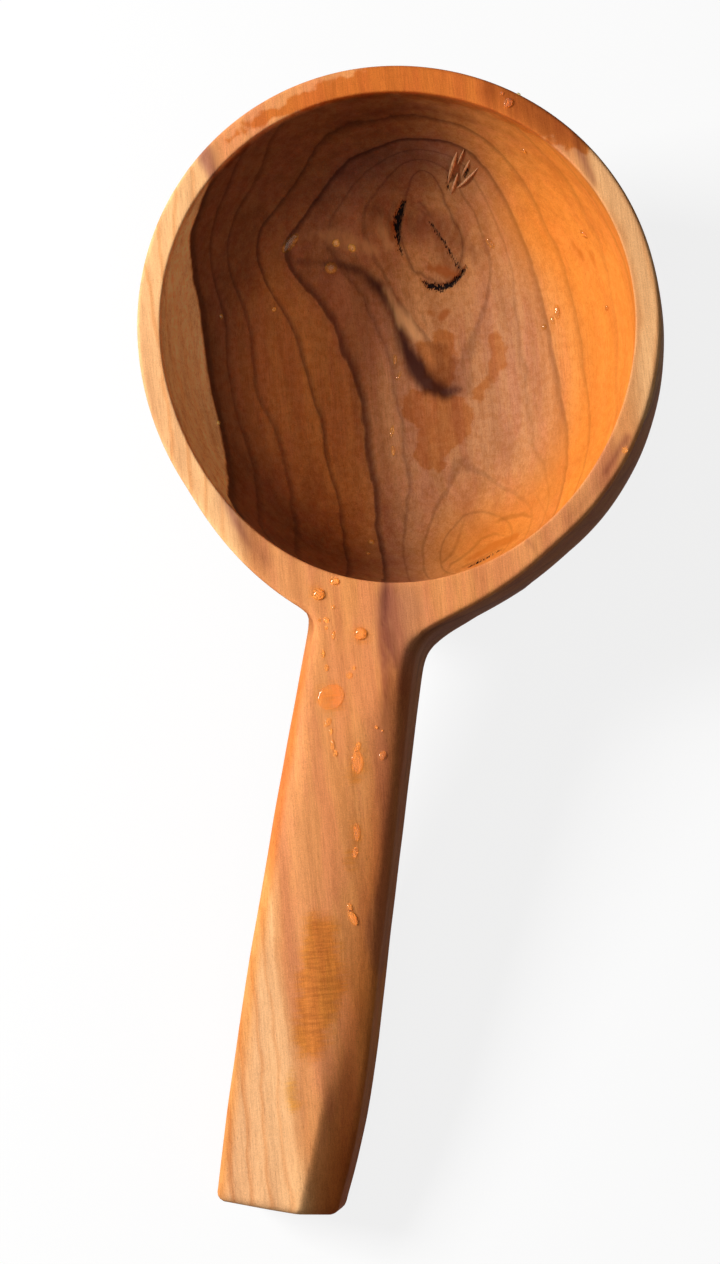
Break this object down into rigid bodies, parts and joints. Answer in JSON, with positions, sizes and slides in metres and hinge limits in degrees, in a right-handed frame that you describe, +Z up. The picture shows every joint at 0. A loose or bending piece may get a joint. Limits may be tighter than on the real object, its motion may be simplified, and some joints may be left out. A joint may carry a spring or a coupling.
{
  "type": "water scoop",
  "caption": "Wooden water scoop carved from one block: a round open bowl with a flat rim, shoulders running into a neck, and a faceted straight handle.",
  "frame": {"origin": "middle of the small sanded flat under the bowl, on the surface that the scoop rests on", "axes": "+Z up; +Y from the handle's end towards the bowl; +X to the right as seen from the handle's end. The scoop lies rolled back on the bowl's foot and the handle's heel, so its rim leans towards the handle"},
  "size_m": [0.149, 0.3168, 0.0833],
  "materials": {
    "carved_wood": "hand-carved teak-like hardwood, smooth sanded and unvarnished, orange-brown heartwood with a pale sapwood band, dark growth lines and a knot in the bowl's floor, darker where it is wet",
    "water": "clear water, in beads that stand on the wood"
  },
  "bodies": {
    "root": {"scoop_body": "carved_wood"}
  },
  "joints": []
}
